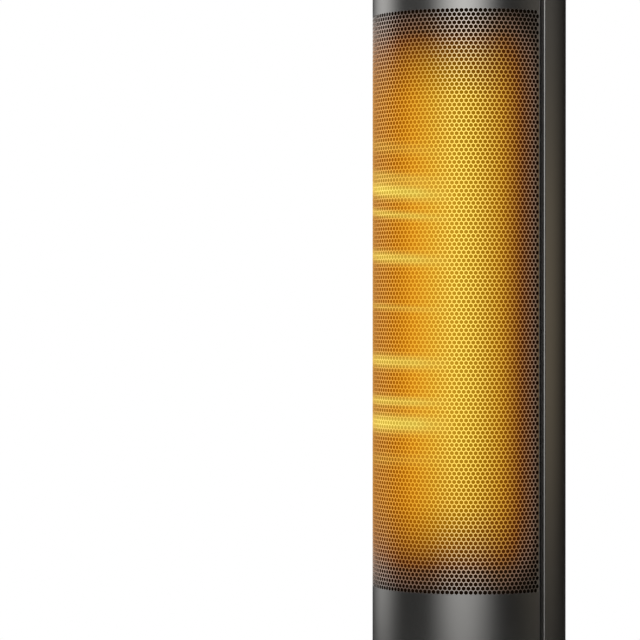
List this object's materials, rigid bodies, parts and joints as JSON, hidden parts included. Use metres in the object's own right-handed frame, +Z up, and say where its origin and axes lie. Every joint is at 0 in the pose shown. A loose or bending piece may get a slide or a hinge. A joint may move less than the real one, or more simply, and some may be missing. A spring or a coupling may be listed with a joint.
{
  "type": "tower heater",
  "caption": "Slim round tower fan heater with a finely perforated curved front, on a swaying weighted round base with push keys on top.",
  "frame": {"origin": "centre of the footprint, on the surface that the feet stand on", "axes": "+Z up, the perforated front faces -Y, +X to the right as seen from in front"},
  "size_m": [0.19, 0.19, 0.61],
  "materials": {
    "cover_grey": "satin metallic dark grey, finely perforated",
    "housing_grey": "satin metallic dark grey",
    "base_black": "fine matt grain, near black",
    "dark_plastic": "fine matt grain, black",
    "gloss_black": "piano black gloss",
    "smoked_lens": "smoked gloss",
    "rubber": "dull black",
    "steel": "zinc-plated steel",
    "cast_iron": "rough cast",
    "aluminium": "mill finish",
    "white_plastic": "natural moulded nylon",
    "board_green": "solder mask",
    "filter_mesh": "woven dust mesh",
    "element_frame": "heat-resistant mica board",
    "wire_red": "silicone-sleeved wire"
  },
  "bodies": {
    "base": {"base_shell": "base_black", "base_plate": "base_black", "ballast_ring": "cast_iron", "sway_gear": "white_plastic", "bearing_ring": "white_plastic", "foot_1": "rubber", "foot_2": "rubber", "foot_3": "rubber", "foot_4": "rubber", "base_screw_1": "steel", "base_screw_2": "steel", "base_screw_3": "steel", "base_screw_4": "steel"},
    "tower": {"turntable": "base_black", "pivot_clip": "steel", "front_cover": "cover_grey", "rear_housing": "housing_grey", "intake_grille": "dark_plastic", "dust_filter": "filter_mesh", "handle_cup": "dark_plastic", "cord_gland": "rubber", "switch_frame": "dark_plastic", "housing_screw_1": "steel", "housing_screw_2": "steel", "lower_deck": "white_plastic", "upper_deck": "white_plastic", "blower_motor": "steel", "top_bearing": "rubber", "volute_guide": "dark_plastic", "air_tongue": "dark_plastic", "heater_frame": "element_frame", "heater_core": "aluminium", "thermal_cutoff": "steel", "power_board": "board_green", "heat_sink": "aluminium", "sway_motor": "steel", "top_cap": "housing_grey", "control_panel": "gloss_black", "display_lens": "smoked_lens", "control_board": "board_green", "display_module": "white_plastic", "infrared_receiver": "gloss_black", "panel_lead": "wire_red", "heater_lead": "wire_red", "motor_lead": "wire_red", "mains_lead": "wire_red"},
    "pinion": {"sway_pinion": "white_plastic"},
    "blower": {"blower_wheel": "dark_plastic", "blower_shaft": "steel"},
    "rocker": {"switch_rocker": "gloss_black"},
    "mode_key": {"mode_button": "dark_plastic"},
    "power_key": {"power_button": "dark_plastic"},
    "sway_key": {"sway_button": "dark_plastic"},
    "cooler_key": {"cooler_button": "dark_plastic"},
    "timer_key": {"timer_button": "dark_plastic"},
    "warmer_key": {"warmer_button": "dark_plastic"}
  },
  "joints": [
    {"name": "sway", "type": "hinge", "parent": "base", "child": "tower", "pos_m": [0, 0, 0.028], "axis": [0, 0, 1], "range_deg": [-35, 35]},
    {"name": "pinion_spin", "type": "hinge", "parent": "tower", "child": "pinion", "pos_m": [0, 0.0345, 0.022], "axis": [0, 0, 1], "range_deg": [-127, 127]},
    {"name": "blower_spin", "type": "hinge", "parent": "tower", "child": "blower", "pos_m": [0, 0.014, 0.3], "axis": [0, 0, 1], "continuous": true},
    {"name": "rocker_tilt", "type": "hinge", "parent": "tower", "child": "rocker", "pos_m": [0, 0.06135, 0.098], "axis": [1, 0, 0], "range_deg": [-18, 0]},
    {"name": "mode_press", "type": "slide", "parent": "tower", "child": "mode_key", "axis": [0, 0, -1], "range_m": [0, 0.001], "stiffness_N_per_m": 300, "springref_m": -0.0005},
    {"name": "power_press", "type": "slide", "parent": "tower", "child": "power_key", "axis": [0, 0, -1], "range_m": [0, 0.001], "stiffness_N_per_m": 300, "springref_m": -0.0005},
    {"name": "sway_press", "type": "slide", "parent": "tower", "child": "sway_key", "axis": [0, 0, -1], "range_m": [0, 0.001], "stiffness_N_per_m": 300, "springref_m": -0.0005},
    {"name": "cooler_press", "type": "slide", "parent": "tower", "child": "cooler_key", "axis": [0, 0, -1], "range_m": [0, 0.001], "stiffness_N_per_m": 300, "springref_m": -0.0005},
    {"name": "timer_press", "type": "slide", "parent": "tower", "child": "timer_key", "axis": [0, 0, -1], "range_m": [0, 0.001], "stiffness_N_per_m": 300, "springref_m": -0.0005},
    {"name": "warmer_press", "type": "slide", "parent": "tower", "child": "warmer_key", "axis": [0, 0, -1], "range_m": [0, 0.001], "stiffness_N_per_m": 300, "springref_m": -0.0005}
  ],
  "couplings": [
    {"joint": "pinion_spin", "follows": "sway", "ratio": 3.6}
  ]
}
